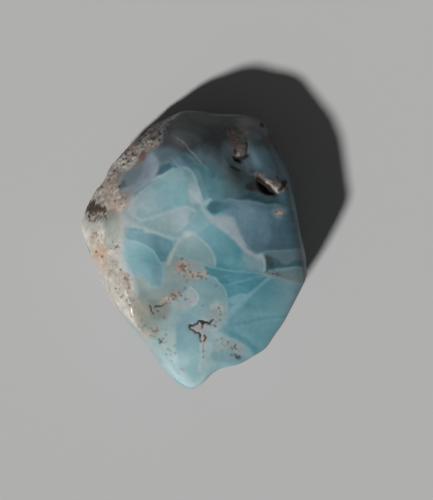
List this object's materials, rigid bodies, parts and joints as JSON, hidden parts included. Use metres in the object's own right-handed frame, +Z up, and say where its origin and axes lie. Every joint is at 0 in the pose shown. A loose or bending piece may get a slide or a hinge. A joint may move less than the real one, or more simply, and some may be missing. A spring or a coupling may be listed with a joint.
{
  "type": "larimar stone",
  "caption": "Tumbled freeform piece of larimar with a flat underside, a crusted flank and a pointed end, for display or jewellery.",
  "frame": {"origin": "middle of the footprint, on the surface that the stone lies on", "axes": "+Z up from the flat underside; +Y along the longest side towards the blunt end, with the pointed tip at -Y; +X to the right of that, seen from above, so that the crusted flank is at -X"},
  "size_m": [0.0244, 0.0306, 0.0123],
  "materials": {
    "larimar": "tumbled polish, with dull crust on one flank"
  },
  "bodies": {
    "root": {"larimar_stone": "larimar"}
  },
  "joints": []
}
